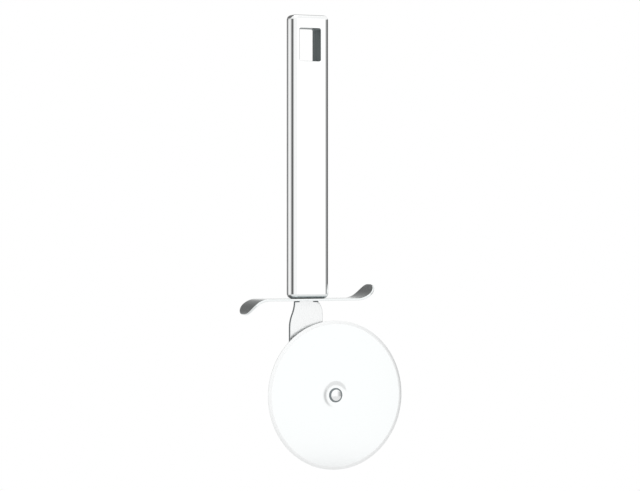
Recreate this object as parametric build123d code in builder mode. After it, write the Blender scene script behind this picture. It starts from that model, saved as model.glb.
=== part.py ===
"""A pizza cutter of polished stainless steel that hangs by the slot in its handle.

Sizes are millimetres. The origin is the centre of the hanging slot. Z runs up the handle,
X is across its wide face, towards the side that the blade is offset to, and Y is to the back.
"""

import os
from math import cos, radians, sin

from build123d import *

# Fits that every piece shares
cut_overrun = 1.0
sheet_fit = 0.05
running_fit = 0.05

# Handle: a hollow bar with an end cap welded into each end
handle_width = 18.7
handle_depth = 8.8
handle_corner_radius = 2.3
handle_wall = 0.8
slot_to_handle_bottom = 114.9
top_cap_thickness = 2.6
top_cap_edge_radius = 2.2
top_spigot_share = 0.6
bottom_cap_thickness = 2.5
bottom_cap_edge_radius = 2.2
bottom_spigot_length = 3.0

# Hanging slot, lined by a sleeve so that the hollow bar stays sealed, and set a little to the
# left of the handle's centre line
slot_to_centre_line = 0.7
slot_width = 10.7
slot_height = 14.9
slot_corner_radius = 0.8
slot_edge_radius = 0.25
slot_to_handle_top = 6.1
liner_wall = 0.6

# Finger guard: a strip bent like a flat S, left wing down and right wing up
guard_thickness = 1.0
guard_overhang = 2.9
guard_flat_length = 44.6
guard_bend_radius = 10.0
guard_bend_angle = 70
guard_corner_radius = 6.0
guard_edge_radius = 0.3

# Carrier arm: one blank of sheet, from its tang in the handle to the eye behind the blade. It
# widens under the guard, in a long S on the near edge and a short round on the far edge
arm_thickness = 1.5
arm_edge_radius = 0.2
tang_width = 7.6
tang_length = 34.0
tang_corner_radius = 1.0
tang_to_back_wall = 1.1
key_hole_radius = 1.5
key_hole_count = 2
shoulder_width = 1.9
flare_width = 2.55
near_flare_length = 12.4
far_flare_length = 6.2
straight_edge_length = 6.0
eye_radius = 9.0
filler_above_tang = 3.0

# Blade: its place under the guard, its disc, the ground rim and the dimple round the axle
guard_to_blade = 9.2
blade_offset = 13.7
blade_radius = 34.0
blade_thickness = 1.0
bevel_width = 1.6
edge_thickness = 0.2
dimple_depth = 0.25
dimple_slope_width = 3.2
dimple_floor_margin = 0.6

# Axle: a rivet in a sleeve, a spacer in front of the arm and a washer behind it
rivet_radius = 1.6
rivet_head_overlap = 0.8
rivet_head_height = 0.85
rivet_head_rim = 0.5
rivet_tail_overlap = 1.0
rivet_tail_height = 0.9
rivet_tail_rim = 0.25
sleeve_wall = 0.8
spacer_thickness = 1.3
spacer_width = 1.5
rear_washer_thickness = 0.6
rear_washer_width = 1.95

# The handle's centre line, its heights and its bore
centre_line = slot_to_centre_line
handle_top = slot_height / 2 + slot_to_handle_top
handle_bottom = -slot_to_handle_bottom
tube_top = handle_top - top_cap_thickness
tube_bottom = handle_bottom + bottom_cap_thickness
bore_width = handle_width - 2 * handle_wall
bore_depth = handle_depth - 2 * handle_wall
bore_corner_radius = handle_corner_radius - handle_wall
spigot_top = tube_bottom + bottom_spigot_length
liner_width = slot_width + 2 * liner_wall
liner_height = slot_height + 2 * liner_wall

# The guard hangs under the handle, the arm's shoulders under the guard, and the blade below
guard_depth = handle_depth + 2 * guard_overhang
guard_top = handle_bottom
shoulder_height = guard_top - guard_thickness
tang_top = shoulder_height + tang_length
axle_height = shoulder_height - guard_to_blade - blade_radius
axle_across = centre_line + blade_offset
neck_width = tang_width + 2 * shoulder_width
arm_width = neck_width + 2 * flare_width

# Radii round the axle, from the rivet's shank outwards
sleeve_bore = rivet_radius + sheet_fit
sleeve_radius = sleeve_bore + sleeve_wall
spacer_bore = sleeve_radius + sheet_fit
blade_bore = sleeve_radius + running_fit
rivet_head_radius = blade_bore + rivet_head_overlap
rivet_tail_radius = rivet_radius + rivet_tail_overlap
dimple_floor_radius = rivet_head_radius + dimple_floor_margin
dimple_radius = dimple_floor_radius + dimple_slope_width

# Depths along the axle, from the arm in the handle's bore forwards to the rivet's head
arm_back = bore_depth / 2 - tang_to_back_wall
arm_front = arm_back - arm_thickness
arm_middle = (arm_front + arm_back) / 2
washer_back = arm_back + rear_washer_thickness
spacer_front = arm_front - spacer_thickness
hub_back = spacer_front - running_fit
hub_front = hub_back - blade_thickness
sleeve_front = hub_front - running_fit
disc_front = hub_front - dimple_depth

axle = Axis((axle_across, 0, axle_height), (0, 1, 0))
axle_section = Plane((axle_across, 0, axle_height))


def level_plane(height):
    """A level plane at a height, centred on the handle."""
    return Plane((centre_line, 0, height))


def upright_plane(depth, across=centre_line):
    """A plane that faces the front, at a depth and an across behind the slot's centre."""
    return Plane((across, depth, 0), x_dir=(1, 0, 0), z_dir=(0, -1, 0))


def rim_edges(faces):
    """The outer edges round a run of touching faces, without those that two of them share."""
    edges = [edge for face in faces for edge in face.outer_wire().edges()]
    return [edge for edge in edges if edges.count(edge) == 1]


def eye_touch(edge_x, edge_height, side):
    """Where an arc that leaves an upright edge of the arm runs into the circle of its eye.

    The arc wraps round the eye where side is 1, and curves away from it where side is -1.
    """
    across = edge_x - blade_offset
    up = edge_height - axle_height
    arc_radius = (eye_radius**2 - across**2 - up**2) / (2 * (across + side * eye_radius))
    towards_eye = Vector(-across - arc_radius, -up).normalized()
    return Vector(blade_offset, axle_height) + towards_eye * (side * eye_radius)


def plain_ring(outer_radius, inner_radius, front, back):
    """A flat ring round the axle, between two depths."""
    with BuildPart() as ring:
        with BuildSketch(axle_section):
            with Locations((inner_radius, front)):
                Rectangle(outer_radius - inner_radius, back - front, align=(Align.MIN, Align.MIN))
        revolve(axis=axle)
    return ring


# Handle tube: a rounded rectangular tube with the slot cut through both wide walls
with BuildPart() as handle_tube:
    with BuildSketch(level_plane(tube_bottom)):
        RectangleRounded(handle_width, handle_depth, handle_corner_radius)
        RectangleRounded(bore_width, bore_depth, bore_corner_radius, mode=Mode.SUBTRACT)
    extrude(amount=tube_top - tube_bottom)
    with BuildSketch(upright_plane(0, 0)):
        RectangleRounded(liner_width, liner_height, slot_corner_radius + liner_wall)
    extrude(amount=handle_depth / 2 + cut_overrun, both=True, mode=Mode.SUBTRACT)
handle_tube.part.label = "handle_tube"

# Top cap: a rounded lid with a spigot that drops into the tube
top_spigot_length = top_spigot_share * (tube_top - liner_height / 2)
with BuildPart() as handle_top_cap:
    with BuildSketch(level_plane(tube_top)):
        RectangleRounded(handle_width, handle_depth, handle_corner_radius)
    extrude(amount=top_cap_thickness)
    fillet(handle_top_cap.faces().sort_by(Axis.Z)[-1].edges(), top_cap_edge_radius)
    with BuildSketch(level_plane(tube_top)):
        RectangleRounded(
            bore_width - 2 * sheet_fit, bore_depth - 2 * sheet_fit, bore_corner_radius - sheet_fit
        )
    extrude(amount=-top_spigot_length)
handle_top_cap.part.label = "handle_top_cap"

# Bottom cap: the same at the lower end, with a slot that the tang passes through
with BuildPart() as handle_bottom_cap:
    with BuildSketch(level_plane(handle_bottom)):
        RectangleRounded(handle_width, handle_depth, handle_corner_radius)
    extrude(amount=bottom_cap_thickness)
    fillet(handle_bottom_cap.faces().sort_by(Axis.Z)[0].edges(), bottom_cap_edge_radius)
    with BuildSketch(level_plane(tube_bottom)):
        RectangleRounded(
            bore_width - 2 * sheet_fit, bore_depth - 2 * sheet_fit, bore_corner_radius - sheet_fit
        )
    extrude(amount=bottom_spigot_length)
    with BuildSketch(level_plane(handle_bottom - cut_overrun)):
        with Locations((0, arm_middle)):
            Rectangle(tang_width + 2 * sheet_fit, arm_thickness + 2 * sheet_fit)
    extrude(
        amount=bottom_cap_thickness + bottom_spigot_length + 2 * cut_overrun, mode=Mode.SUBTRACT
    )
handle_bottom_cap.part.label = "handle_bottom_cap"

# Slot liner: a sleeve from the front wall to the back wall, ground flush, its mouths eased
with BuildPart() as hang_slot_liner:
    with BuildSketch(upright_plane(0, 0)):
        RectangleRounded(liner_width, liner_height, slot_corner_radius + liner_wall)
        RectangleRounded(slot_width, slot_height, slot_corner_radius, mode=Mode.SUBTRACT)
    extrude(amount=handle_depth / 2, both=True)
    mouths = hang_slot_liner.faces().filter_by(Axis.Y)
    fillet([edge for mouth in mouths for edge in mouth.inner_wires()[0].edges()], slot_edge_radius)
hang_slot_liner.part.label = "hang_slot_liner"

# Tang filler: cement cast round the tang, which runs through the tang's holes and keys it there
key_hole_pitch = tang_length / (key_hole_count + 2)
key_hole_heights = [tang_top - key_hole_pitch * (i + 1) for i in range(key_hole_count)]
with BuildPart() as tang_filler:
    with BuildSketch(level_plane(spigot_top)):
        RectangleRounded(bore_width, bore_depth, bore_corner_radius)
    extrude(amount=tang_top + filler_above_tang - spigot_top)
    with BuildSketch(upright_plane(arm_middle)):
        with Locations((0, (tang_top + spigot_top) / 2)):
            Rectangle(tang_width, tang_top - spigot_top)
        fillet(vertices().group_by(Axis.Y)[-1], tang_corner_radius)
        with Locations([(0, height) for height in key_hole_heights]):
            Circle(key_hole_radius, mode=Mode.SUBTRACT)
    extrude(amount=arm_thickness / 2, both=True, mode=Mode.SUBTRACT)
tang_filler.part.label = "tang_filler"

# Finger guard: a flat middle with a wing bent each way, its corners rounded and edges eased
bend_start = guard_flat_length / 2
guard_middle = guard_top - guard_thickness / 2
bend = radians(guard_bend_angle)
tip_reach = bend_start + guard_bend_radius * sin(bend)
tip_rise = guard_bend_radius * (1 - cos(bend))
with BuildPart() as finger_guard:
    with BuildSketch(upright_plane(0)):
        with BuildLine():
            for side in (1, -1):
                face_height = guard_middle + side * guard_thickness / 2
                bend_centre = (side * bend_start, guard_middle + side * guard_bend_radius)
                inside = guard_bend_radius - guard_thickness / 2
                outside = guard_bend_radius + guard_thickness / 2
                Line((-bend_start, face_height), (bend_start, face_height))
                inner_arc = CenterArc(bend_centre, inside, -90 * side, guard_bend_angle)
                outer_arc = CenterArc(bend_centre, outside, -90 * side, guard_bend_angle)
                Line(inner_arc @ 1, outer_arc @ 1)
        make_face()
    extrude(amount=guard_depth / 2, both=True)
    with BuildSketch(level_plane(guard_top)):
        with Locations((0, arm_middle)):
            Rectangle(tang_width + 2 * sheet_fit, arm_thickness + 2 * sheet_fit)
    extrude(amount=-guard_thickness - cut_overrun, mode=Mode.SUBTRACT)
    for side in (1, -1):
        tip = Plane(
            (centre_line + side * tip_reach, 0, guard_middle + side * tip_rise),
            x_dir=(side * cos(bend), 0, side * sin(bend)),
            z_dir=(-sin(bend), 0, cos(bend)),
        )
        with BuildSketch(tip):
            Rectangle(2 * guard_corner_radius, guard_depth + 2 * cut_overrun)
            RectangleRounded(
                4 * guard_corner_radius,
                guard_depth,
                guard_corner_radius,
                align=(Align.MAX, Align.CENTER),
                mode=Mode.SUBTRACT,
            )
        extrude(amount=guard_bend_radius / 2, both=True, mode=Mode.SUBTRACT)
    flats_and_bends = finger_guard.faces().sort_by(SortBy.AREA)[-6:]
    fillet(rim_edges(flats_and_bends), guard_edge_radius)
finger_guard.part.label = "finger_guard"

# Carrier arm: tang, shoulders, flare and a curved arm that ends in an eye behind the blade
flare_end = shoulder_height - near_flare_length
flare_middle = shoulder_height - near_flare_length / 2
flare_middle_x = (neck_width + flare_width) / 2
straight_end = flare_end - straight_edge_length
edge_x = arm_width / 2
with BuildPart() as carrier_arm:
    with BuildSketch(upright_plane(arm_middle)):
        with BuildLine():
            near_flare = TangentArc(
                (-edge_x, flare_end), (-flare_middle_x, flare_middle), tangent=(0, 1)
            )
            near_neck = TangentArc(
                near_flare @ 1, (-neck_width / 2, shoulder_height), tangent=near_flare % 1
            )
            far_flare = TangentArc(
                (edge_x, shoulder_height - far_flare_length),
                (neck_width / 2, shoulder_height),
                tangent=(0, 1),
            )
            Line(near_neck @ 1, far_flare @ 1)
            near_edge = Line(near_flare @ 0, (-edge_x, straight_end))
            far_edge = Line(far_flare @ 0, (edge_x, flare_end))
            near_arc = TangentArc(
                near_edge @ 1, eye_touch(-edge_x, straight_end, 1), tangent=(0, -1)
            )
            far_arc = TangentArc(far_edge @ 1, eye_touch(edge_x, flare_end, -1), tangent=(0, -1))
            TangentArc(near_arc @ 1, far_arc @ 1, tangent=near_arc % 1)
        make_face()
        with Locations((0, (tang_top + shoulder_height) / 2)):
            Rectangle(tang_width, tang_length)
        fillet(vertices().group_by(Axis.Y)[-1], tang_corner_radius)
        with Locations([(0, height) for height in key_hole_heights]):
            Circle(key_hole_radius, mode=Mode.SUBTRACT)
        with Locations((blade_offset, axle_height)):
            Circle(sleeve_bore, mode=Mode.SUBTRACT)
    extrude(amount=arm_thickness / 2, both=True)
    fillet(rim_edges(carrier_arm.faces().filter_by(Axis.Y)), arm_edge_radius)
carrier_arm.part.label = "carrier_arm"

# Blade: a thin disc with a rim ground from both faces and a dimple pressed towards the arm
dimple_middle = (dimple_radius + dimple_floor_radius) / 2
rim_front = disc_front + (blade_thickness - edge_thickness) / 2
rim_back = rim_front + edge_thickness
with BuildPart() as cutting_wheel:
    with BuildSketch(axle_section):
        with BuildLine():
            for face, rim in ((disc_front, rim_front), (disc_front + blade_thickness, rim_back)):
                floor = face + dimple_depth
                turn = (dimple_middle, face + dimple_depth / 2)
                Polyline(
                    (blade_radius, rim), (blade_radius - bevel_width, face), (dimple_radius, face)
                )
                TangentArc((dimple_radius, face), turn, tangent=(-1, 0))
                TangentArc((dimple_floor_radius, floor), turn, tangent=(1, 0))
                Line((dimple_floor_radius, floor), (blade_bore, floor))
            Line((blade_bore, hub_front), (blade_bore, hub_back))
            Line((blade_radius, rim_front), (blade_radius, rim_back))
        make_face()
    revolve(axis=axle)
cutting_wheel.part.label = "cutting_wheel"

# Rivet: a low domed head in the dimple, a shank through the sleeve and arm, and a formed tail
head_crown = sleeve_front - rivet_head_height
tail_crown = washer_back + rivet_tail_height
with BuildPart() as axle_rivet:
    with BuildSketch(axle_section):
        with BuildLine():
            head = TangentArc(
                (0, head_crown),
                (rivet_head_radius, sleeve_front - rivet_head_rim),
                tangent=(1, 0),
            )
            tail = TangentArc(
                (0, tail_crown),
                (rivet_tail_radius, washer_back + rivet_tail_rim),
                tangent=(1, 0),
            )
            Polyline(
                head @ 1,
                (rivet_head_radius, sleeve_front),
                (rivet_radius, sleeve_front),
                (rivet_radius, washer_back),
                (rivet_tail_radius, washer_back),
                tail @ 1,
            )
            Line(head @ 0, tail @ 0)
        make_face()
    revolve(axis=axle)
axle_rivet.part.label = "axle_rivet"

# Sleeve, spacer and rear washer: plain turned and stamped rings on the rivet
axle_sleeve = plain_ring(sleeve_radius, sleeve_bore, sleeve_front, arm_front)
axle_sleeve.part.label = "axle_sleeve"
spacer_washer = plain_ring(spacer_bore + spacer_width, spacer_bore, spacer_front, arm_front)
spacer_washer.part.label = "spacer_washer"
rear_washer = plain_ring(sleeve_bore + rear_washer_width, sleeve_bore, arm_back, washer_back)
rear_washer.part.label = "rear_washer"

os.makedirs("parts", exist_ok=True)
for piece in (
    handle_tube,
    handle_top_cap,
    handle_bottom_cap,
    hang_slot_liner,
    tang_filler,
    finger_guard,
    carrier_arm,
    cutting_wheel,
    axle_rivet,
    axle_sleeve,
    spacer_washer,
    rear_washer,
):
    export_step(piece.part, f"parts/{piece.part.label}.step")
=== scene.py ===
from math import asin, atan2, cos, pi, radians, sin

import bmesh
import bpy
from mathutils import Matrix, Vector


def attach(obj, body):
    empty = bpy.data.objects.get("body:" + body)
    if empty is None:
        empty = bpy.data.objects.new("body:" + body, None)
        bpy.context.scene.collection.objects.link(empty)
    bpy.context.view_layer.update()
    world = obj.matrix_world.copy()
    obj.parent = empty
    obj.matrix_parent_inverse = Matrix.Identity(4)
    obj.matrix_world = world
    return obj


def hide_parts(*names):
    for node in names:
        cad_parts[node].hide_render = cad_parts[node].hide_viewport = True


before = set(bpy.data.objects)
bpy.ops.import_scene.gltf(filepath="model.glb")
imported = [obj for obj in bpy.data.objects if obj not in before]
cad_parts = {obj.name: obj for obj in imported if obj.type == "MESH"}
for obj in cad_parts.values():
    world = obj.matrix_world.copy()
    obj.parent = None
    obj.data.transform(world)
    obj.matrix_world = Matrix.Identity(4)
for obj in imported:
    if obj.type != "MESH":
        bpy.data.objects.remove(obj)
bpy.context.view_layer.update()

# Grip tube: a rounded rectangular tube of 0.8 mm stainless steel, 18.7 by 8.8 mm, drawn
# with its long seam welded. The slot is cut through both wide walls, a little left of the
# centre line, and the outside is polished to a mirror, which crowns the narrow sides.
MILLIMETRE = 0.001
handle_width, handle_depth = 18.7, 8.8
side_radius, side_half_angle = 20.0, radians(6)
wall = 0.8
tube_bottom, tube_top = -112.4, 10.95
liner_width, liner_height, liner_corner = 11.9, 16.1, 1.4
corner_steps, side_steps, opening_steps = 14, 6, 8

# The sizes are in millimetres. The slot's centre is the origin, and the pieces are drawn
# about the handle's centre line, which lies this far to its right.
centre_line = 0.7

# Points nearer than the first are one point, and places nearer than the second are level.
same_point, same_level = 0.0005, 0.01
crease_angle = radians(38)


def linear(hex_colour):
    """An sRGB hex colour as linear red, green, blue and full alpha."""
    shares = [int(hex_colour[i:i + 2], 16) / 255 for i in (1, 3, 5)]
    return [s / 12.92 if s <= 0.04045 else ((s + 0.055) / 1.055) ** 2.4 for s in shares] + [1]


def add_node(tree, kind, inputs, **settings):
    """Adds a node with its settings; an input is a value, or a socket to link from."""
    node = tree.nodes.new(kind)
    for name, value in settings.items():
        setattr(node, name, value)
    for name, value in inputs.items():
        if isinstance(value, bpy.types.NodeSocket):
            tree.links.new(value, node.inputs[name])
        else:
            node.inputs[name].default_value = value
    return node


def marks(*to_a_millimetre):
    """A pattern's scale along each axis, from how many of its marks lie in a millimetre."""
    return [count / MILLIMETRE for count in to_a_millimetre]


def new_finish(name):
    """An empty material, with its tree and the place along the object in metres."""
    finish = bpy.data.materials.new(name)
    finish.use_nodes = True
    finish.node_tree.nodes.clear()
    place = add_node(finish.node_tree, "ShaderNodeTexCoord", {}).outputs["Object"]
    return finish, finish.node_tree, place


def rounded_face(bm, width, depth, corner, steps):
    """A face in the floor plane with rounded corners, centred on the origin."""
    sides = Matrix.Diagonal((width, depth, 1, 1))
    made = bmesh.ops.create_grid(bm, x_segments=1, y_segments=1, size=0.5, matrix=sides)
    bmesh.ops.bevel(
        bm, geom=made["verts"], affect="VERTICES", offset=corner, segments=steps,
        profile=0.5, material=-1,
    )


def turn(bm, vert, centre, axis, angle, steps):
    """Draws an arc from a vertex round a centre, and returns its end."""
    made = bmesh.ops.spin(bm, geom=[vert], cent=centre, axis=axis, angle=angle, steps=steps)
    return [v for v in made["geom_last"] if isinstance(v, bmesh.types.BMVert)][0]


def line(bm, vert, place):
    """Draws a straight edge from a vertex to a place, and returns its end."""
    end = bmesh.ops.extrude_vert_indiv(bm, verts=[vert])["verts"][0]
    end.co = place
    return end


def pull_out(bm, faces, way):
    """Extrudes faces and moves their new copies along a way."""
    made = bmesh.ops.extrude_face_region(bm, geom=faces)
    moved = [v for v in made["geom"] if isinstance(v, bmesh.types.BMVert)]
    bmesh.ops.translate(bm, verts=moved, vec=way)


def grip_face(bm, height):
    """The grip's section at a height: flat wide sides, round corners, crowned narrow sides."""
    side_x = handle_width / 2 - side_radius
    lean = sin(side_half_angle)
    corner = (handle_depth / 2 - side_radius * lean) / (1 - lean)
    corner_x = side_x + (side_radius - corner) * cos(side_half_angle)
    corner_y = handle_depth / 2 - corner
    quarter = pi / 2 - side_half_angle
    end = bm.verts.new((-corner_x, -handle_depth / 2, height))
    for way in (1, -1):
        end = line(bm, end, (way * corner_x, -way * handle_depth / 2, height))
        for centre, angle, steps in (
            ((way * corner_x, -way * corner_y, height), quarter, corner_steps),
            ((way * side_x, 0, height), 2 * side_half_angle, side_steps),
            ((way * corner_x, way * corner_y, height), quarter, corner_steps),
        ):
            end = turn(bm, end, centre, (0, 0, 1), angle, steps)
    bmesh.ops.remove_doubles(bm, verts=bm.verts, dist=same_point)
    return bmesh.ops.contextual_create(bm, geom=bm.edges[:])["faces"][0]


def finish_piece(name, bm, finishes, body, slot, *nodes):
    """Closes a mesh drawn in millimetres about the centre line, and hangs it on its body."""
    bmesh.ops.remove_doubles(bm, verts=bm.verts, dist=same_point)
    bmesh.ops.recalc_face_normals(bm, faces=bm.faces)
    bmesh.ops.translate(bm, verts=bm.verts, vec=(centre_line, 0, 0))
    bmesh.ops.scale(bm, verts=bm.verts, vec=(MILLIMETRE,) * 3)
    mesh = bpy.data.meshes.new(name)
    bm.to_mesh(mesh)
    bm.free()
    mesh.shade_smooth()
    mesh.set_sharp_from_angle(angle=crease_angle)
    for finish in finishes:
        mesh.materials.append(finish)
    piece = bpy.data.objects.new(name, mesh)
    bpy.context.scene.collection.objects.link(piece)
    flat_faces = piece.modifiers.new("flat faces stay flat", "WEIGHTED_NORMAL")
    flat_faces.keep_sharp = True
    flat_faces.weight = 100
    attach(piece, body)
    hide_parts(*nodes)


# Mirror-polished 18/10 stainless steel: nearly as sharp as a mirror. Its buffing lines run
# along the grip, drawn coarse, 2.5 to a millimetre, so that they show, and a swell of about
# 17 mm bends the reflections a little.
mirror_colour = linear("#F6F7F7")
mirror_steel, tree, place = new_finish("mirror_polished_stainless")
along = add_node(
    tree, "ShaderNodeMapping", {"Vector": place, "Scale": marks(2.5, 2.5, 0.04)}
).outputs["Vector"]
lines = add_node(
    tree, "ShaderNodeTexNoise", {"Vector": along, "Scale": 1, "Detail": 3}
).outputs["Fac"]
swell = add_node(
    tree, "ShaderNodeTexNoise", {"Vector": place, "Scale": 0.06 / MILLIMETRE, "Detail": 1}
).outputs["Fac"]
sheen = add_node(
    tree, "ShaderNodeMapRange", {"Value": lines, "To Min": 0.05, "To Max": 0.10}
).outputs["Result"]
swell_bump = add_node(
    tree, "ShaderNodeBump", {"Height": swell, "Strength": 1, "Distance": 0.01 * MILLIMETRE}
).outputs["Normal"]
line_bump = add_node(
    tree,
    "ShaderNodeBump",
    {
        "Height": lines,
        "Strength": 0.3,
        "Distance": 0.001 * MILLIMETRE,
        "Normal": swell_bump,
    },
).outputs["Normal"]
steel = add_node(
    tree,
    "ShaderNodeBsdfPrincipled",
    {
        "Base Color": mirror_colour,
        "Metallic": 1,
        "Roughness": sheen,
        "Normal": line_bump,
    },
)
add_node(tree, "ShaderNodeOutputMaterial", {"Surface": steel.outputs["BSDF"]})

bm = bmesh.new()
grip_face(bm, tube_bottom)
pull_out(bm, bm.faces[:], (0, 0, tube_top - tube_bottom))
ends = [f for f in bm.faces if len(f.verts) > 4]
bmesh.ops.delete(bm, geom=ends, context="FACES_ONLY")


def upright(bm, verts, depth):
    """Stands a flat outline up in the slot's place, facing the front, at a depth."""
    bmesh.ops.rotate(bm, verts=verts, cent=(0, 0, 0), matrix=Matrix.Rotation(pi / 2, 3, "X"))
    bmesh.ops.translate(bm, verts=verts, vec=(-centre_line, depth, 0))


def cut_opening(bm, face):
    """Takes a wide face of the tube out and fills it again round the slot's opening."""
    depth = face.calc_center_median().y
    rim = face.edges[:]
    bmesh.ops.delete(bm, geom=[face], context="FACES_ONLY")
    old = set(bm.verts)
    rounded_face(bm, liner_width, liner_height, liner_corner, opening_steps)
    fresh = [v for v in bm.verts if v not in old]
    opening = list(dict.fromkeys(f for v in fresh for f in v.link_faces))
    bmesh.ops.delete(bm, geom=opening, context="FACES_ONLY")
    upright(bm, fresh, depth)
    mouth = list(dict.fromkeys(e for v in fresh for e in v.link_edges))
    bmesh.ops.triangle_fill(bm, edges=rim + mouth, use_beauty=True)


for side in (-1, 1):
    bm.normal_update()
    facing = [f for f in bm.faces if f.calc_center_median().y * side > 0]
    cut_opening(bm, max(facing, key=lambda f: f.calc_area()))
bmesh.ops.recalc_face_normals(bm, faces=bm.faces)
bmesh.ops.solidify(bm, geom=bm.faces[:], thickness=wall)
finish_piece("grip_tube", bm, [mirror_steel], "handle", "polished_steel", "handle_tube")

# End caps: two lids of the same steel, dropped into the tube's ends on a spigot, laser
# welded all round and polished over, so that the seams don't show. Both are rounded all
# round; the lower one has the slot that the arm's tang passes through.
handle_top, handle_bottom = 13.55, -114.9
cap_round, cap_round_steps = 2.2, 10
spigot_fit = 0.05
top_spigot_end, bottom_spigot_end = 9.21, -109.4
tang_slot_width, tang_slot_depth, tang_slot_y = 7.7, 1.6, 1.75


def cap(outside, seam, spigot_end):
    """A lid between its outer face and the tube's end, with a spigot inside the tube."""
    bm = bmesh.new()
    pull_out(bm, [grip_face(bm, outside)], (0, 0, seam - outside))
    bmesh.ops.recalc_face_normals(bm, faces=bm.faces)
    lids = [f for f in bm.faces if len(f.verts) > 4]
    inner = min(lids, key=lambda f: abs(f.calc_center_median().z - seam))
    bmesh.ops.inset_region(bm, faces=[inner], thickness=wall + spigot_fit, use_even_offset=True)
    pull_out(bm, [inner], (0, 0, spigot_end - seam))
    # The face that was extruded stays behind inside the lid, so it goes.
    bmesh.ops.delete(bm, geom=[inner], context="FACES_ONLY")
    rim = [e for e in bm.edges if all(abs(v.co.z - outside) < same_level for v in e.verts)]
    bmesh.ops.bevel(
        bm, geom=rim, affect="EDGES", offset=cap_round, segments=cap_round_steps,
        profile=0.5, material=-1,
    )
    return bm


def cut_tang_slot(bm, heights):
    """Opens the tang's slot through the level faces at two heights, and walls it."""
    mouths = []
    for height in heights:
        level = [f for f in bm.faces if abs(f.calc_center_median().z - height) < same_level]
        lid = max(level, key=lambda f: f.calc_area())
        rim = lid.edges[:]
        bmesh.ops.delete(bm, geom=[lid], context="FACES_ONLY")
        sides = Matrix.Diagonal((tang_slot_width, tang_slot_depth, 1, 1))
        made = bmesh.ops.create_grid(
            bm, x_segments=1, y_segments=1, size=0.5,
            matrix=Matrix.Translation((0, tang_slot_y, height)) @ sides,
        )
        mouth = list(dict.fromkeys(e for v in made["verts"] for e in v.link_edges))
        bmesh.ops.delete(bm, geom=made["verts"][0].link_faces[:], context="FACES_ONLY")
        bmesh.ops.triangle_fill(bm, edges=rim + mouth, use_beauty=True)
        mouths += mouth
    bmesh.ops.bridge_loops(bm, edges=mouths)


bm = cap(handle_top, tube_top, top_spigot_end)
finish_piece("crowned_end_cap", bm, [mirror_steel], "handle", "polished_steel", "handle_top_cap")

# The lower cap's rounding faces the guard. It is painted darker and made rougher towards the
# guard, with a fine grain of 5 to a millimetre, and it fades into the mirror above. The
# darker colour is painted shade where the cap meets the guard.
dark_below, mirror_above = 0.9, 1.4
cap_steel_with_painted_shade, tree, place = new_finish("stainless_painted_shade_towards_the_guard")
height = add_node(tree, "ShaderNodeSeparateXYZ", {"Vector": place}).outputs["Z"]
towards_mirror = add_node(
    tree,
    "ShaderNodeMapRange",
    {
        "Value": height,
        "From Min": (handle_bottom + dark_below) * MILLIMETRE,
        "From Max": (handle_bottom + mirror_above) * MILLIMETRE,
    },
    interpolation_type="SMOOTHSTEP",
).outputs["Result"]
# Painted shade: the rounding darkens towards the guard.
shade_ramp = add_node(tree, "ShaderNodeValToRGB", {"Fac": towards_mirror})
shade_ramp.color_ramp.elements[0].color = linear("#B2B8B9")
shade_ramp.color_ramp.elements[1].color = mirror_colour
sheen = add_node(
    tree, "ShaderNodeMapRange", {"Value": towards_mirror, "To Min": 0.3, "To Max": 0.08}
).outputs["Result"]
grit = add_node(
    tree, "ShaderNodeTexNoise", {"Vector": place, "Scale": 5 / MILLIMETRE, "Detail": 2}
).outputs["Fac"]
relief = add_node(
    tree, "ShaderNodeBump", {"Height": grit, "Strength": 0.3, "Distance": 0.005 * MILLIMETRE}
).outputs["Normal"]
steel = add_node(
    tree,
    "ShaderNodeBsdfPrincipled",
    {
        "Base Color": shade_ramp.outputs["Color"],
        "Metallic": 1,
        "Roughness": sheen,
        "Normal": relief,
    },
)
add_node(tree, "ShaderNodeOutputMaterial", {"Surface": steel.outputs["BSDF"]})
bm = cap(handle_bottom, tube_bottom, bottom_spigot_end)
cut_tang_slot(bm, (handle_bottom, bottom_spigot_end))
finish_piece("tang_end_cap", bm, [cap_steel_with_painted_shade], "handle", "polished_steel", "handle_bottom_cap")

# Slot sleeve: a short rounded sleeve of the same steel, welded into both wide walls and
# ground flush. Its mouths are eased and polished with the faces. Its inside is left as it was
# cut and is painted dark grey, a painted shade in the slot.
slot_width, slot_height, slot_corner = 10.7, 14.9, 0.8
mouth_round, mouth_steps = 0.25, 4

# Cut stainless left unpolished: rough, with fine upright streaks from the cutter, drawn 2.2
# to a millimetre so that they show. Its dull mid grey is painted shade inside the slot.
cut_steel_with_painted_shade, tree, place = new_finish("cut_stainless_with_painted_shade")
along = add_node(
    tree, "ShaderNodeMapping", {"Vector": place, "Scale": marks(2.2, 2.2, 0.06)}
).outputs["Vector"]
streaks = add_node(
    tree, "ShaderNodeTexNoise", {"Vector": along, "Scale": 1, "Detail": 4}
).outputs["Fac"]
# Painted shade: the slot's inside is dark grey.
grey = add_node(tree, "ShaderNodeValToRGB", {"Fac": streaks})
grey.color_ramp.elements[0].position = 0.3
grey.color_ramp.elements[0].color = linear("#5E6768")
grey.color_ramp.elements[1].position = 0.7
grey.color_ramp.elements[1].color = linear("#7B8384")
relief = add_node(
    tree, "ShaderNodeBump", {"Height": streaks, "Strength": 0.5, "Distance": 0.01 * MILLIMETRE}
).outputs["Normal"]
steel = add_node(
    tree,
    "ShaderNodeBsdfPrincipled",
    {
        "Base Color": grey.outputs["Color"],
        "Metallic": 1,
        "Roughness": 0.42,
        "Normal": relief,
    },
)
add_node(tree, "ShaderNodeOutputMaterial", {"Surface": steel.outputs["BSDF"]})

bm = bmesh.new()
rounded_face(bm, liner_width, liner_height, liner_corner, opening_steps)
rounded_face(bm, slot_width, slot_height, slot_corner, opening_steps)
bmesh.ops.delete(bm, geom=bm.faces[:], context="FACES_ONLY")
bmesh.ops.bridge_loops(bm, edges=bm.edges[:])
upright(bm, bm.verts[:], -handle_depth / 2)
pull_out(bm, bm.faces[:], (0, handle_depth, 0))
bmesh.ops.recalc_face_normals(bm, faces=bm.faces)


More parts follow.
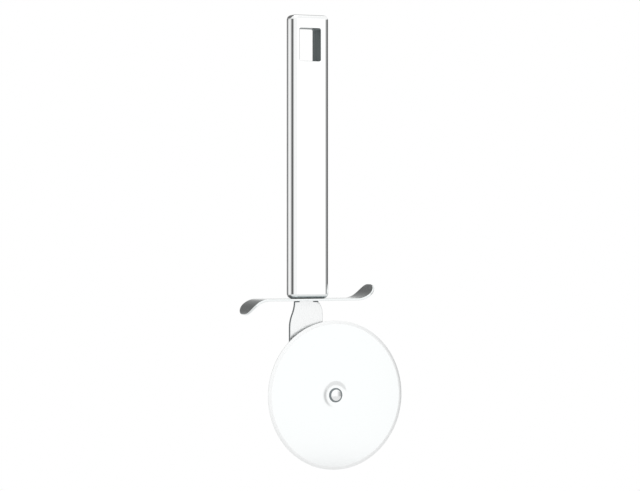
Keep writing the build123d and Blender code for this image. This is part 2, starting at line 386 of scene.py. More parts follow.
def on_slot_wall(spot):
    """True for a place that is no further out than the slot's wall."""
    return (
        abs(spot.x + centre_line) < slot_width / 2 + same_level
        and abs(spot.z) < slot_height / 2 + same_level
    )


mouths = [
    e for e in bm.edges
    if abs(e.verts[0].co.y - e.verts[1].co.y) < same_level
    and all(on_slot_wall(v.co) for v in e.verts)
]
bmesh.ops.bevel(
    bm, geom=mouths, affect="EDGES", offset=mouth_round, segments=mouth_steps, profile=0.5,
    material=-1,
)
for face in bm.faces:
    middle = face.calc_center_median()
    between_mouths = abs(middle.y) < handle_depth / 2 - mouth_round
    face.material_index = 1 if between_mouths and on_slot_wall(middle) else 0
finish_piece(
    "slot_sleeve", bm, [mirror_steel, cut_steel_with_painted_shade], "handle", "polished_steel", "hang_slot_liner"
)

# Tang filler: hard casting resin with mineral flour, poured round the tang through the
# lower end before the cap is welded on. It is opaque, stone grey and slightly grainy, with
# 4 grains to a millimetre.
cast_resin, tree, place = new_finish("filled_casting_resin")
grain = add_node(
    tree, "ShaderNodeTexNoise", {"Vector": place, "Scale": 4 / MILLIMETRE, "Detail": 4}
).outputs["Fac"]
stone = add_node(tree, "ShaderNodeValToRGB", {"Fac": grain})
stone.color_ramp.elements[0].position = 0.35
stone.color_ramp.elements[0].color = linear("#B3AEA2")
stone.color_ramp.elements[1].position = 0.65
stone.color_ramp.elements[1].color = linear("#CDC9BE")
relief = add_node(
    tree, "ShaderNodeBump", {"Height": grain, "Strength": 0.6, "Distance": 0.05 * MILLIMETRE}
).outputs["Normal"]
resin = add_node(
    tree,
    "ShaderNodeBsdfPrincipled",
    {"Base Color": stone.outputs["Color"], "Roughness": 0.65, "Normal": relief},
)
add_node(tree, "ShaderNodeOutputMaterial", {"Surface": resin.outputs["BSDF"]})


def refinish(node, finish):
    """Gives a CAD node's every material slot a new finish."""
    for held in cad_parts[node].material_slots:
        held.material = finish


refinish("tang_filler", cast_resin)

# Finger guard: a strip of 1 mm stainless steel, 14.6 mm wide, pushed over the tang and
# held between cap and shoulders. Its wings are rolled opposite ways and their corners are
# rounded.
guard_thickness, guard_depth = 1.0, 14.6
guard_top = handle_bottom
bend_start, bend_radius, bend_angle = 22.3, 10.0, radians(70)
guard_corner, guard_edge = 6.0, 0.18
bend_steps, guard_corner_steps, guard_edge_steps = 28, 12, 4

# Polished stainless strip: bright, but softer than the grip, with lines along the strip
# from the belt, drawn 2.5 to a millimetre.
guard_steel, tree, place = new_finish("polished_stainless_strip")
along = add_node(
    tree, "ShaderNodeMapping", {"Vector": place, "Scale": marks(0.06, 2.5, 0.06)}
).outputs["Vector"]
lines = add_node(
    tree, "ShaderNodeTexNoise", {"Vector": along, "Scale": 1, "Detail": 3}
).outputs["Fac"]
sheen = add_node(
    tree, "ShaderNodeMapRange", {"Value": lines, "To Min": 0.12, "To Max": 0.20}
).outputs["Result"]
relief = add_node(
    tree, "ShaderNodeBump", {"Height": lines, "Strength": 0.4, "Distance": 0.002 * MILLIMETRE}
).outputs["Normal"]
steel = add_node(
    tree,
    "ShaderNodeBsdfPrincipled",
    {
        "Base Color": linear("#E9ECEC"),
        "Metallic": 1,
        "Roughness": sheen,
        "Normal": relief,
    },
)
add_node(tree, "ShaderNodeOutputMaterial", {"Surface": steel.outputs["BSDF"]})


def in_tang_slot(spot):
    """True for a place in the tang's slot or on its wall."""
    return (
        abs(spot.x) < tang_slot_width / 2 + same_level
        and abs(spot.y - tang_slot_y) < tang_slot_depth / 2 + same_level
    )


bend_length = bend_radius * bend_angle
bm = bmesh.new()
rounded_face(
    bm, 2 * (bend_start + bend_length), guard_depth, guard_corner, guard_corner_steps
)
cuts = [bend_start + bend_length * i / bend_steps for i in range(bend_steps)]
for cut in cuts + [tang_slot_width / 2]:
    for side in (-1, 1):
        bmesh.ops.bisect_plane(
            bm, geom=bm.verts[:] + bm.edges[:] + bm.faces[:], plane_co=(side * cut, 0, 0),
            plane_no=(1, 0, 0),
        )
for side in (-1, 1):
    cut = tang_slot_y + side * tang_slot_depth / 2
    middle = [f for f in bm.faces if abs(f.calc_center_median().x) < bend_start]
    geom = list(dict.fromkeys(g for f in middle for g in (f, *f.edges, *f.verts)))
    bmesh.ops.bisect_plane(bm, geom=geom, plane_co=(0, cut, 0), plane_no=(0, 1, 0))
slot_face = [f for f in bm.faces if in_tang_slot(f.calc_center_median())]
bmesh.ops.delete(bm, geom=slot_face, context="FACES")
pull_out(bm, bm.faces[:], (0, 0, -guard_thickness))
bmesh.ops.translate(bm, verts=bm.verts, vec=(0, 0, guard_top))
bmesh.ops.recalc_face_normals(bm, faces=bm.faces)
bm.normal_update()
rim = [
    e for e in bm.edges
    if len(e.link_faces) == 2
    and sorted(abs(f.normal.z) > 0.5 for f in e.link_faces) == [False, True]
    and not all(in_tang_slot(v.co) for v in e.verts)
]
bmesh.ops.bevel(
    bm, geom=rim, affect="EDGES", offset=guard_edge, segments=guard_edge_steps, profile=0.5,
    material=-1,
)
guard_middle = guard_top - guard_thickness / 2
for v in bm.verts:
    side = 1 if v.co.x > 0 else -1
    past = abs(v.co.x) - bend_start
    if past > 0:
        angle = past / bend_radius
        centre = Vector((side * bend_start, v.co.y, guard_middle + side * bend_radius))
        reach = bend_radius - side * (v.co.z - guard_middle)
        v.co = centre + Vector((side * sin(angle) * reach, 0, -side * cos(angle) * reach))
finish_piece("s_bent_guard", bm, [guard_steel], "handle", "guard_steel", "finger_guard")

# Carrier arm: one blank of 1.5 mm stainless sheet from the tang in the handle to the eye
# behind the blade. Its near edge leaves the shoulder in an S, its far edge in a short round.
# It is stamped, its edges are broken, and its shoulders are tacked to the guard by laser.
arm_front, arm_back = 1.0, 2.5
tang_half, tang_top, tang_corner = 3.8, -81.9, 1.0
shoulder_z, neck_half = -115.9, 5.7
arm_half, far_flare_z, flare_z, straight_z = 8.25, -122.1, -128.3, -134.3
axle = Vector((13.7, 0, -159.1))
eye_radius, eye_hole = 9.0, 1.65
key_hole_radius, key_hole_heights = 1.5, (-90.4, -98.9)
arm_edge, shoulder_edge, arm_edge_steps = 0.2, 0.45, 3
s_steps, near_steps, eye_steps, far_steps, round_steps = 8, 36, 60, 30, 12
tang_steps, hole_steps = 6, 40


def arc(bm, vert, centre, angle, steps):
    """Draws an arc from a vertex round a centre, seen from the front, and returns its end."""
    return turn(bm, vert, centre, (0, -1, 0), angle, steps)


# The near edge: the S, the straight, and one arc round to the eye.
bm = bmesh.new()
start = bm.verts.new((-tang_half, 0, shoulder_z))
end = line(bm, start, (-neck_half, 0, shoulder_z))
flare = arm_half - neck_half
half_fall = (shoulder_z - flare_z) / 2
s_radius = (flare ** 2 / 4 + half_fall ** 2) / flare
s_turn = asin(half_fall / s_radius)
end = arc(bm, end, (-neck_half - s_radius, 0, shoulder_z), -s_turn, s_steps)
end = arc(bm, end, (s_radius - arm_half, 0, flare_z), s_turn, s_steps)
end = line(bm, end, (-arm_half, 0, straight_z))
run = Vector((axle.x + arm_half, 0, axle.z - straight_z))
near_radius = (eye_radius ** 2 - run.length_squared) / (2 * (eye_radius - run.x))
near_centre = Vector((near_radius - arm_half, 0, straight_z))
to_eye = axle - near_centre
near_turn = atan2(-to_eye.z, -to_eye.x)
end = arc(bm, end, near_centre, near_turn, near_steps)

# Round the eye, and up the far edge in one arc, a straight and the short round.
run = Vector((axle.x - arm_half, 0, axle.z - flare_z))
far_radius = (eye_radius ** 2 - run.length_squared) / (-2 * (eye_radius + run.x))
far_centre = Vector((arm_half + far_radius, 0, flare_z))
from_eye = axle - far_centre
far_turn = atan2(-from_eye.z, -from_eye.x)
end = arc(bm, end, axle, pi - near_turn + far_turn, eye_steps)
end = arc(bm, end, far_centre, -far_turn, far_steps)
end = line(bm, end, (arm_half, 0, far_flare_z))
far_fall = shoulder_z - far_flare_z
round_radius = (flare ** 2 + far_fall ** 2) / (2 * flare)
round_turn = asin(far_fall / round_radius)
end = arc(bm, end, (arm_half - round_radius, 0, far_flare_z), round_turn, round_steps)

# The far shoulder, round the tang, and back to the near shoulder.
end = line(bm, end, (tang_half, 0, shoulder_z))
end = line(bm, end, (tang_half, 0, tang_top - tang_corner))
end = arc(bm, end, (tang_half - tang_corner, 0, tang_top - tang_corner), pi / 2, tang_steps)
end = line(bm, end, (tang_corner - tang_half, 0, tang_top))
end = arc(bm, end, (tang_corner - tang_half, 0, tang_top - tang_corner), pi / 2, tang_steps)
line(bm, end, start.co)
holes = [(axle, eye_hole)]
holes += [(Vector((0, 0, height)), key_hole_radius) for height in key_hole_heights]
for centre, radius in holes:
    bmesh.ops.create_circle(
        bm, segments=hole_steps, radius=radius,
        matrix=Matrix.Translation(centre) @ Matrix.Rotation(pi / 2, 4, "X"),
    )
bmesh.ops.remove_doubles(bm, verts=bm.verts, dist=same_point)
bmesh.ops.triangle_fill(bm, edges=bm.edges[:], use_beauty=True)
bmesh.ops.translate(bm, verts=bm.verts, vec=(0, arm_front, 0))
pull_out(bm, bm.faces[:], (0, arm_back - arm_front, 0))
bmesh.ops.recalc_face_normals(bm, faces=bm.faces)
bm.normal_update()


def in_hole(vert):
    """True for a vertex on the wall of one of the arm's holes."""
    spot = Vector((vert.co.x, 0, vert.co.z))
    return any((spot - centre).length < radius + same_level for centre, radius in holes)


def on_shoulder(edge):
    """True for an edge that lies at the shoulders' height."""
    return all(abs(v.co.z - shoulder_z) < same_level for v in edge.verts)


rim = [
    e for e in bm.edges
    if len(e.link_faces) == 2
    and sorted(abs(f.normal.y) > 0.5 for f in e.link_faces) == [False, True]
    and not in_hole(e.verts[0])
]
bmesh.ops.bevel(
    bm, geom=[e for e in rim if not on_shoulder(e)], affect="EDGES", offset=arm_edge,
    segments=arm_edge_steps, profile=0.5, material=-1,
)
shoulders = [e for e in bm.edges if on_shoulder(e) and e.calc_length() > 1]
bmesh.ops.bevel(
    bm, geom=shoulders, affect="EDGES", offset=shoulder_edge, segments=arm_edge_steps,
    profile=0.5, material=-1,
)

# Satin stainless sheet: a soft grey-white sheen, with the satin's lines along the arm,
# drawn 3 to a millimetre. Each shoulder has a short dark line beside the tang, just under
# the guard: painted shade where the arm meets the guard.
shade_height, shade_fade = 0.85, 0.25
shade_inner, shade_outer = tang_half - 0.6, tang_half - 0.2
satin_steel, tree, place = new_finish("satin_stainless_sheet")
spot = add_node(tree, "ShaderNodeSeparateXYZ", {"Vector": place}).outputs
below_guard = add_node(
    tree,
    "ShaderNodeMapRange",
    {
        "Value": spot["Z"],
        "From Min": (shoulder_z - shade_height) * MILLIMETRE,
        "From Max": (shoulder_z - shade_height + shade_fade) * MILLIMETRE,
    },
).outputs["Result"]
from_line = add_node(
    tree, "ShaderNodeMath", {0: spot["X"], 1: centre_line * MILLIMETRE}, operation="SUBTRACT"
).outputs["Value"]
beside = add_node(
    tree, "ShaderNodeMath", {0: from_line}, operation="ABSOLUTE"
).outputs["Value"]
off_tang = add_node(
    tree,
    "ShaderNodeMapRange",
    {
        "Value": beside,
        "From Min": shade_inner * MILLIMETRE,
        "From Max": shade_outer * MILLIMETRE,
    },
).outputs["Result"]
# Painted shade: dark where the shoulders meet the guard, beside the tang.
painted_shade = add_node(
    tree, "ShaderNodeMath", {0: below_guard, 1: off_tang}, operation="MULTIPLY"
).outputs["Value"]
shade_ramp = add_node(tree, "ShaderNodeValToRGB", {"Fac": painted_shade})
shade_ramp.color_ramp.elements[0].color = linear("#EFF0F0")
shade_ramp.color_ramp.elements[1].color = linear("#4D5355")
along = add_node(
    tree, "ShaderNodeMapping", {"Vector": place, "Scale": marks(3, 3, 0.09)}
).outputs["Vector"]
lines = add_node(
    tree, "ShaderNodeTexNoise", {"Vector": along, "Scale": 1, "Detail": 4}
).outputs["Fac"]
sheen = add_node(
    tree, "ShaderNodeMapRange", {"Value": lines, "To Min": 0.2, "To Max": 0.32}
).outputs["Result"]
relief = add_node(
    tree, "ShaderNodeBump", {"Height": lines, "Strength": 0.25, "Distance": 0.004 * MILLIMETRE}
).outputs["Normal"]
steel = add_node(
    tree,
    "ShaderNodeBsdfPrincipled",
    {
        "Base Color": shade_ramp.outputs["Color"],
        "Metallic": 1,
        "Roughness": sheen,
        "Normal": relief,
    },
)
add_node(tree, "ShaderNodeOutputMaterial", {"Surface": steel.outputs["BSDF"]})

# Sheared stainless edge: duller than the faces and painted darker, a painted dark reflection
# that draws the arm's outline; torn through the thickness by the die, 2.6 tears to a millimetre.
edge_steel_with_painted_shade, tree, place = new_finish("sheared_stainless_edge_with_painted_shade")
through = add_node(
    tree, "ShaderNodeMapping", {"Vector": place, "Scale": marks(2.6, 0.2, 2.6)}
).outputs["Vector"]
tears = add_node(
    tree, "ShaderNodeTexNoise", {"Vector": through, "Scale": 1, "Detail": 4}
).outputs["Fac"]
relief = add_node(
    tree, "ShaderNodeBump", {"Height": tears, "Strength": 0.6, "Distance": 0.02 * MILLIMETRE}
).outputs["Normal"]
steel = add_node(
    tree,
    "ShaderNodeBsdfPrincipled",
    {
        "Base Color": linear("#8A8F90"),
        "Metallic": 1,
        "Roughness": 0.45,
        "Normal": relief,
    },
)
add_node(tree, "ShaderNodeOutputMaterial", {"Surface": steel.outputs["BSDF"]})
bm.normal_update()
# Painted shade: the arm's edge faces are dark grey.
for face in bm.faces:
    dark_edge = abs(face.normal.y) < 0.75
    face.material_index = 1 if dark_edge else 0
finish_piece("blade_arm", bm, [satin_steel, edge_steel_with_painted_shade], "handle", "arm_steel", "carrier_arm")

# Blade: a disc of hardened stainless steel, 68 mm across and 1 mm thick. A dimple is
# pressed towards the arm round the axle, both faces are polished, and the rim is ground
# from both sides to the cutting edge.
blade_radius, bevel_width = 34.0, 1.6
blade_front, blade_back = -1.6, -0.6
rim_front, rim_back = -1.2, -1.0
dimple_radius, floor_radius, dimple_depth = 7.1, 3.9, 0.25
blade_bore = 2.5
slope_steps, blade_steps = 10, 256
slope_step = (dimple_radius - floor_radius) / 2
slope_radius = (slope_step ** 2 + (dimple_depth / 2) ** 2) / dimple_depth
slope_turn = asin(slope_step / slope_radius)


def section_line(bm, vert, radius, depth):
    """Draws a straight edge of a turned section to a radius and a depth."""
    return line(bm, vert, (axle.x + radius, depth, axle.z))


def section_arc(bm, vert, radius, depth, angle, steps):
    """Draws an arc of a turned section round a centre at a radius and a depth."""
    return turn(bm, vert, (axle.x + radius, depth, axle.z), (0, 0, 1), angle, steps)


def turn_section(bm, steps):
    """Turns a closed section once round the axle."""
    bmesh.ops.spin(
        bm, geom=bm.verts[:] + bm.edges[:], cent=axle, axis=(0, 1, 0), angle=2 * pi, steps=steps,
        use_merge=True,
    )


bm = bmesh.new()
start = bm.verts.new((axle.x + blade_bore, blade_front + dimple_depth, axle.z))
end = section_line(bm, start, floor_radius, blade_front + dimple_depth)
floor_centre = blade_front + dimple_depth - slope_radius
end = section_arc(bm, end, floor_radius, floor_centre, -slope_turn, slope_steps)
end = section_arc(bm, end, dimple_radius, blade_front + slope_radius, slope_turn, slope_steps)
end = section_line(bm, end, blade_radius - bevel_width, blade_front)
end = section_line(bm, end, blade_radius, rim_front)
end = section_line(bm, end, blade_radius, rim_back)
end = section_line(bm, end, blade_radius - bevel_width, blade_back)
end = section_line(bm, end, dimple_radius, blade_back)
end = section_arc(bm, end, dimple_radius, blade_back + slope_radius, -slope_turn, slope_steps)
floor_centre = blade_back + dimple_depth - slope_radius
end = section_arc(bm, end, floor_radius, floor_centre, slope_turn, slope_steps)
end = section_line(bm, end, blade_bore, blade_back + dimple_depth)
line(bm, end, start.co)
bmesh.ops.remove_doubles(bm, verts=bm.verts, dist=same_point)
turn_section(bm, blade_steps)

# Polished hardened stainless: bright and even, with rings round the axle from the polishing,
# 3.5 to a millimetre, that only soften the sheen.
polished_blade, tree, place = new_finish("polished_hardened_stainless")
from_axle = add_node(
    tree,
    "ShaderNodeVectorMath",
    {0: place, 1: ((centre_line + axle.x) * MILLIMETRE, 0, axle.z * MILLIMETRE)},
    operation="SUBTRACT",
).outputs["Vector"]
flat_place = add_node(
    tree, "ShaderNodeVectorMath", {0: from_axle, 1: (1, 0, 1)}, operation="MULTIPLY"
).outputs["Vector"]
radius_from_axle = add_node(
    tree, "ShaderNodeVectorMath", {0: flat_place}, operation="LENGTH"
).outputs["Value"]
rings = add_node(
    tree,
    "ShaderNodeTexNoise",
    {"W": radius_from_axle, "Scale": 3.5 / MILLIMETRE, "Detail": 3},
    noise_dimensions="1D",
).outputs["Fac"]
sheen = add_node(
    tree, "ShaderNodeMapRange", {"Value": rings, "To Min": 0.08, "To Max": 0.14}
).outputs["Result"]
relief = add_node(
    tree, "ShaderNodeBump", {"Height": rings, "Strength": 0.4, "Distance": 0.002 * MILLIMETRE}
).outputs["Normal"]
steel = add_node(
    tree,
    "ShaderNodeBsdfPrincipled",
    {
        "Base Color": linear("#EFF1F1"),
        "Metallic": 1,
        "Roughness": sheen,
        "Normal": relief,
    },
)
add_node(tree, "ShaderNodeOutputMaterial", {"Surface": steel.outputs["BSDF"]})

# Ground stainless: the bevel is as pale as the face but matt from a wheel of 6 grains to a
# millimetre, so it shows as a soft ring.
ground_bevel, tree, place = new_finish("ground_stainless_cutting_edge")
grit = add_node(
    tree, "ShaderNodeTexNoise", {"Vector": place, "Scale": 6 / MILLIMETRE, "Detail": 2}
).outputs["Fac"]
sheen = add_node(
    tree, "ShaderNodeMapRange", {"Value": grit, "To Min": 0.30, "To Max": 0.40}
).outputs["Result"]
relief = add_node(
    tree, "ShaderNodeBump", {"Height": grit, "Strength": 0.5, "Distance": 0.005 * MILLIMETRE}
).outputs["Normal"]
steel = add_node(
    tree,
    "ShaderNodeBsdfPrincipled",
    {
        "Base Color": linear("#F3F4F4"),
        "Metallic": 1,
        "Roughness": sheen,
        "Normal": relief,
    },
)
add_node(tree, "ShaderNodeOutputMaterial", {"Surface": steel.outputs["BSDF"]})
for face in bm.faces:
    spot = face.calc_center_median() - axle
    beyond = Vector((spot.x, 0, spot.z)).length > blade_radius - bevel_width
    face.material_index = 1 if beyond else 0
finish_piece(
    "round_blade", bm, [polished_blade, ground_bevel], "wheel", "blade_steel", "cutting_wheel"
)

# Rivet: soft stainless steel, cold headed. Its low dome sits in the dimple and holds the
# blade, its shank runs through the sleeve and the arm, and its tail is formed behind the
# rear washer.
rivet_radius = 1.6
head_radius, head_back, head_wall, head_crown = 3.3, -1.4, 0.12, -2.25
dome_edge, dome_drop = 2.55, 0.36
ring_inner, ring_outer, ring_depth = 2.6, 2.9, 0.12
tail_radius, tail_front, tail_wall, tail_crown = 2.6, 3.1, 0.25, 4.0
dome_steps, rivet_steps = 16, 128

# Cold-headed stainless: bright, with the slight unevenness that the die leaves, about
# 1.5 waves to a millimetre.
headed_steel, tree, place = new_finish("cold_headed_stainless")
forge = add_node(
    tree, "ShaderNodeTexNoise", {"Vector": place, "Scale": 1.5 / MILLIMETRE, "Detail": 2}
).outputs["Fac"]
sheen = add_node(
    tree, "ShaderNodeMapRange", {"Value": forge, "To Min": 0.1, "To Max": 0.18}
).outputs["Result"]
relief = add_node(
    tree, "ShaderNodeBump", {"Height": forge, "Strength": 0.4, "Distance": 0.01 * MILLIMETRE}
).outputs["Normal"]
steel = add_node(
    tree,
    "ShaderNodeBsdfPrincipled",
    {
        "Base Color": linear("#F0F1F1"),
        "Metallic": 1,
        "Roughness": sheen,
        "Normal": relief,
    },
)
add_node(tree, "ShaderNodeOutputMaterial", {"Surface": steel.outputs["BSDF"]})

# The die that forms the dome leaves a sunk ring round it, matt and grained 3.5 to a
# millimetre. The ring and the head's rim are painted dark: painted shade in the groove round the
# dome.
shaded_ring_steel, tree, place = new_finish("stainless_painted_shade_round_the_dome")
ring_grain = add_node(
    tree, "ShaderNodeTexNoise", {"Vector": place, "Scale": 3.5 / MILLIMETRE, "Detail": 3}
).outputs["Fac"]
sheen = add_node(
    tree, "ShaderNodeMapRange", {"Value": ring_grain, "To Min": 0.4, "To Max": 0.55}
).outputs["Result"]
relief = add_node(
    tree,
    "ShaderNodeBump",
    {"Height": ring_grain, "Strength": 0.5, "Distance": 0.01 * MILLIMETRE},
).outputs["Normal"]
steel = add_node(
    tree,
    "ShaderNodeBsdfPrincipled",
    {
        "Base Color": linear("#858C8F"),
        "Metallic": 1,
        "Roughness": sheen,
        "Normal": relief,
    },
)
add_node(tree, "ShaderNodeOutputMaterial", {"Surface": steel.outputs["BSDF"]})

bm = bmesh.new()
start = bm.verts.new((axle.x, head_crown, axle.z))
dome_radius = (dome_edge ** 2 + dome_drop ** 2) / (2 * dome_drop)
dome_turn = asin(dome_edge / dome_radius)
end = section_arc(bm, start, 0, head_crown + dome_radius, dome_turn, dome_steps)
ring_floor = head_crown + dome_drop + ring_depth
end = section_line(bm, end, ring_inner, ring_floor)
end = section_line(bm, end, ring_outer, ring_floor)
end = section_line(bm, end, head_radius, head_back - head_wall)
end = section_line(bm, end, head_radius, head_back)
end = section_line(bm, end, rivet_radius, head_back)
end = section_line(bm, end, rivet_radius, tail_front)
end = section_line(bm, end, tail_radius, tail_front)
end = section_line(bm, end, tail_radius, tail_front + tail_wall)
tail_rise = tail_crown - tail_front - tail_wall
tail_dome_radius = (tail_radius ** 2 + tail_rise ** 2) / (2 * tail_rise)
tail_turn = asin(tail_radius / tail_dome_radius)
section_arc(bm, end, 0, tail_crown - tail_dome_radius, tail_turn, dome_steps)
turn_section(bm, rivet_steps)
# Painted shade: the sunk ring and the head's rim get the dark finish.
for face in bm.faces:
    spot = face.calc_center_median() - axle
    off_axis = Vector((spot.x, 0, spot.z)).length
    painted_ring = off_axis > dome_edge - same_level and spot.y < head_back + same_level
    face.material_index = 1 if painted_ring else 0
finish_piece(
    "domed_rivet", bm, [headed_steel, shaded_ring_steel], "handle", "rivet_steel", "axle_rivet"
)

# Sleeve, spacer and rear washer: a turned brass bush that the blade runs on, and two
# stamped steel rings that set the blade off the arm and back the rivet's tail. Their
# CAD shapes are right, so they keep them and get their real finishes.

# Turned brass: pale yellow and bright, with the tool's fine marks, 5 to a millimetre.
turned_brass, tree, place = new_finish("turned_brass")
rings = add_node(
    tree, "ShaderNodeTexNoise", {"Vector": place, "Scale": 5 / MILLIMETRE, "Detail": 2}
).outputs["Fac"]
sheen = add_node(
    tree, "ShaderNodeMapRange", {"Value": rings, "To Min": 0.22, "To Max": 0.34}
).outputs["Result"]
brass = add_node(
    tree,
    "ShaderNodeBsdfPrincipled",
    {"Base Color": linear("#D9C48F"), "Metallic": 1, "Roughness": sheen},
)
add_node(tree, "ShaderNodeOutputMaterial", {"Surface": brass.outputs["BSDF"]})
refinish("axle_sleeve", turned_brass)

# Tumbled stainless: light grey and satiny, with small dents all over from the barrel, 2.5 to
# a millimetre.
stamped_steel, tree, place = new_finish("tumbled_stamped_stainless")
tumble = add_node(
    tree, "ShaderNodeTexNoise", {"Vector": place, "Scale": 2.5 / MILLIMETRE, "Detail": 3}
).outputs["Fac"]
sheen = add_node(
    tree, "ShaderNodeMapRange", {"Value": tumble, "To Min": 0.25, "To Max": 0.4}
).outputs["Result"]
relief = add_node(
    tree, "ShaderNodeBump", {"Height": tumble, "Strength": 0.5, "Distance": 0.01 * MILLIMETRE}
).outputs["Normal"]
steel = add_node(
    tree,
    "ShaderNodeBsdfPrincipled",
    {
        "Base Color": linear("#D9DBDB"),
        "Metallic": 1,
        "Roughness": sheen,
        "Normal": relief,
    },
)
add_node(tree, "ShaderNodeOutputMaterial", {"Surface": steel.outputs["BSDF"]})
refinish("spacer_washer", stamped_steel)
refinish("rear_washer", stamped_steel)

# Floor: a plain pale round table top, 107 mm below the blade. The camera sees it lifted to
# white, the steel sees it lifted a little, and it keeps the object's shadow. From here on
# the sizes are in metres.
floor_height = -0.30
table_radius, table_steps = 0.9, 96
camera_lift, mirror_lift = 0.45, 0.1
pale_top, tree, place = new_finish("pale_table_top")
paint = add_node(
    tree, "ShaderNodeBsdfDiffuse", {"Color": linear("#E6E6E6"), "Roughness": 0.3}
).outputs["BSDF"]
path = add_node(tree, "ShaderNodeLightPath", {}).outputs
mirrored = add_node(
    tree, "ShaderNodeMath", {0: path["Is Glossy Ray"], 1: path["Is Transmission Ray"]},
    operation="MAXIMUM",
).outputs["Value"]
in_mirror = add_node(
    tree, "ShaderNodeMath", {0: mirrored, 1: mirror_lift}, operation="MULTIPLY"
).outputs["Value"]
lift = add_node(
    tree, "ShaderNodeMath", {0: path["Is Camera Ray"], 1: camera_lift, 2: in_mirror},
    operation="MULTIPLY_ADD",
).outputs["Value"]
glow = add_node(
    tree, "ShaderNodeEmission", {"Color": (1, 1, 1, 1), "Strength": lift}
).outputs["Emission"]
both = add_node(tree, "ShaderNodeAddShader", {0: paint, 1: glow}).outputs["Shader"]
add_node(tree, "ShaderNodeOutputMaterial", {"Surface": both})
bm = bmesh.new()
bmesh.ops.create_circle(
    bm, cap_ends=True, segments=table_steps, radius=table_radius,
    matrix=Matrix.Translation((0, 0, floor_height)),
)
mesh = bpy.data.meshes.new("table_top")
bm.to_mesh(mesh)
bm.free()
mesh.materials.append(pale_top)
table_top = bpy.data.objects.new("table_top", mesh)
bpy.context.scene.collection.objects.link(table_top)

# Studio: a white room with one large soft light on the camera's right and one above. Grey
# drapes stand to the left, to the right and high behind; only the polished steel shows
# them, as its dark outlines. Azimuths are degrees to the right of the camera.
camera_azimuth, camera_elevation = radians(-26.5), radians(0.24)
aim = Vector((5.81, -2.55, -90.9)) * MILLIMETRE
room_light, high_drape_grey = 0.9, 0.16


def towards(azimuth, elevation):
    """The direction from the object at an azimuth from the camera and an elevation."""
    heading = camera_azimuth + azimuth
    return Vector((sin(heading) * cos(elevation), -cos(heading) * cos(elevation), sin(elevation)))


def shades(ramp, stops, reach):
    """Sets a ramp's greys at angles in degrees, from minus its reach to its reach."""
    while len(ramp.elements) < len(stops):
        ramp.elements.new(0.5)
    # A ramp sorts its stops as they move, so they get their greys last.
    for element, (angle, grey) in zip(ramp.elements, stops):
        element.position = (angle + reach) / (2 * reach)
    for element, (angle, grey) in zip(ramp.elements, stops):
        element.color = (grey, grey, grey, 1)


world = bpy.data.worlds.new("white_room_with_grey_drapes")
bpy.context.scene.world = world
world.use_nodes = True
tree = world.node_tree
tree.nodes.clear()
sight = add_node(tree, "ShaderNodeTexCoord", {}).outputs["Generated"]
facing = add_node(
    tree, "ShaderNodeMapping", {"Vector": sight, "Rotation": (0, 0, -camera_azimuth)}
).outputs["Vector"]
parts = add_node(tree, "ShaderNodeSeparateXYZ", {"Vector": facing}).outputs
ahead = add_node(
    tree, "ShaderNodeMath", {0: parts["Y"], 1: -1}, operation="MULTIPLY"
).outputs["Value"]
heading = add_node(
    tree, "ShaderNodeMath", {0: parts["X"], 1: ahead}, operation="ARCTAN2"
).outputs["Value"]
round_share = add_node(
    tree, "ShaderNodeMapRange", {"Value": heading, "From Min": -pi, "From Max": pi}
).outputs["Result"]
rise = add_node(
    tree, "ShaderNodeMath", {0: parts["Z"]}, operation="ARCSINE"
).outputs["Value"]
rise_share = add_node(
    tree, "ShaderNodeMapRange", {"Value": rise, "From Min": -pi / 2, "From Max": pi / 2}
).outputs["Result"]

level_drapes = add_node(tree, "ShaderNodeValToRGB", {"Fac": round_share})
shades(level_drapes.color_ramp, (
    (-172, 1.0), (-165, 0.13), (-137, 0.13), (-132, 0.55), (-127, 0.95), (-121, 0.95),
    (-112, 0.6), (-99, 0.16), (-81, 0.09), (-65, 0.16), (-51, 0.45), (-37, 1.0),
    (57, 1.0), (67, 0.75), (82, 0.42), (102, 0.2), (125, 0.12), (166, 0.12), (174, 1.0),
), 180)
level_reach = add_node(tree, "ShaderNodeValToRGB", {"Fac": rise_share})
shades(level_reach.color_ramp, ((-20, 0.0), (-12, 1.0), (9, 1.0), (16, 0.0)), 90)
high_drape = add_node(tree, "ShaderNodeValToRGB", {"Fac": round_share})
shades(high_drape.color_ramp, (
    (-180, 0.75), (-166, 0.9), (-152, 1.0), (-128, 1.0), (-114, 0.0), (160, 0.0), (172, 0.7),
), 180)
high_reach = add_node(tree, "ShaderNodeValToRGB", {"Fac": rise_share})
shades(high_reach.color_ramp, ((4, 0.0), (11, 0.5), (18, 1.0), (50, 1.0), (62, 0.0)), 90)
level_part = add_node(
    tree,
    "ShaderNodeMapRange",
    {
        "Value": level_reach.outputs["Color"],
        "To Min": 1.0,
        "To Max": level_drapes.outputs["Color"],
    },
).outputs["Result"]
high_share = add_node(
    tree,
    "ShaderNodeMath",
    {0: high_drape.outputs["Color"], 1: high_reach.outputs["Color"]},
    operation="MULTIPLY",
).outputs["Value"]
high_part = add_node(
    tree,
    "ShaderNodeMapRange",
    {"Value": high_share, "To Min": 1.0, "To Max": high_drape_grey},
).outputs["Result"]
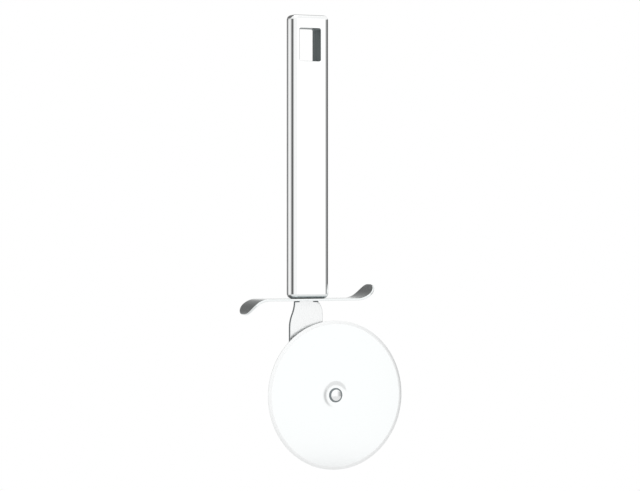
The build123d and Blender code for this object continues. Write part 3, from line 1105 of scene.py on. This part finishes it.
drapes = add_node(
    tree, "ShaderNodeMath", {0: level_part, 1: high_part}, operation="MULTIPLY"
).outputs["Value"]
path = add_node(tree, "ShaderNodeLightPath", {}).outputs
mirrored = add_node(
    tree, "ShaderNodeMath", {0: path["Is Glossy Ray"], 1: path["Is Transmission Ray"]},
    operation="MAXIMUM",
).outputs["Value"]
plain_level = add_node(
    tree,
    "ShaderNodeMapRange",
    {"Value": path["Is Camera Ray"], "To Min": room_light, "To Max": 1.0},
).outputs["Result"]
level = add_node(
    tree, "ShaderNodeMapRange", {"Value": mirrored, "To Min": plain_level, "To Max": drapes}
).outputs["Result"]
room = add_node(
    tree, "ShaderNodeBackground", {"Color": (1, 1, 1, 1), "Strength": level}
).outputs["Background"]
add_node(tree, "ShaderNodeOutputWorld", {"Surface": room})


def soft_light(name, azimuth, elevation, distance, width, height, watts):
    """A soft box that faces the object from a direction and a distance."""
    lamp = bpy.data.lights.new(name, "AREA")
    lamp.shape = "RECTANGLE"
    lamp.size, lamp.size_y = width, height
    lamp.energy = watts
    box = bpy.data.objects.new(name, lamp)
    away = towards(azimuth, elevation)
    box.location = aim + away * distance
    box.rotation_euler = away.to_track_quat("Z", "Y").to_euler()
    bpy.context.scene.collection.objects.link(box)


soft_light(
    "key_soft_box", radians(44), radians(4), distance=1.6, width=1.1, height=1.5, watts=0.75
)
soft_light(
    "top_soft_box", radians(0), radians(80), distance=1.4, width=1.2, height=1.2, watts=3.6
)

# Camera: a long lens 1.32 m away, 26.5 degrees to the left of the handle's front and level
# with its lower part, framed as in the photograph.
camera_distance = 1.32
frame_width = 0.29044
lens_camera = bpy.data.cameras.new("camera")
lens_camera.sensor_width = 36
lens_camera.lens = lens_camera.sensor_width * camera_distance / frame_width
lens_camera.clip_end = 50
camera = bpy.data.objects.new("camera", lens_camera)
away = towards(0, camera_elevation)
camera.location = aim + away * camera_distance
camera.rotation_euler = away.to_track_quat("Z", "Y").to_euler()
bpy.context.scene.collection.objects.link(camera)
bpy.context.scene.camera = camera
bpy.context.scene.view_settings.view_transform = "Standard"
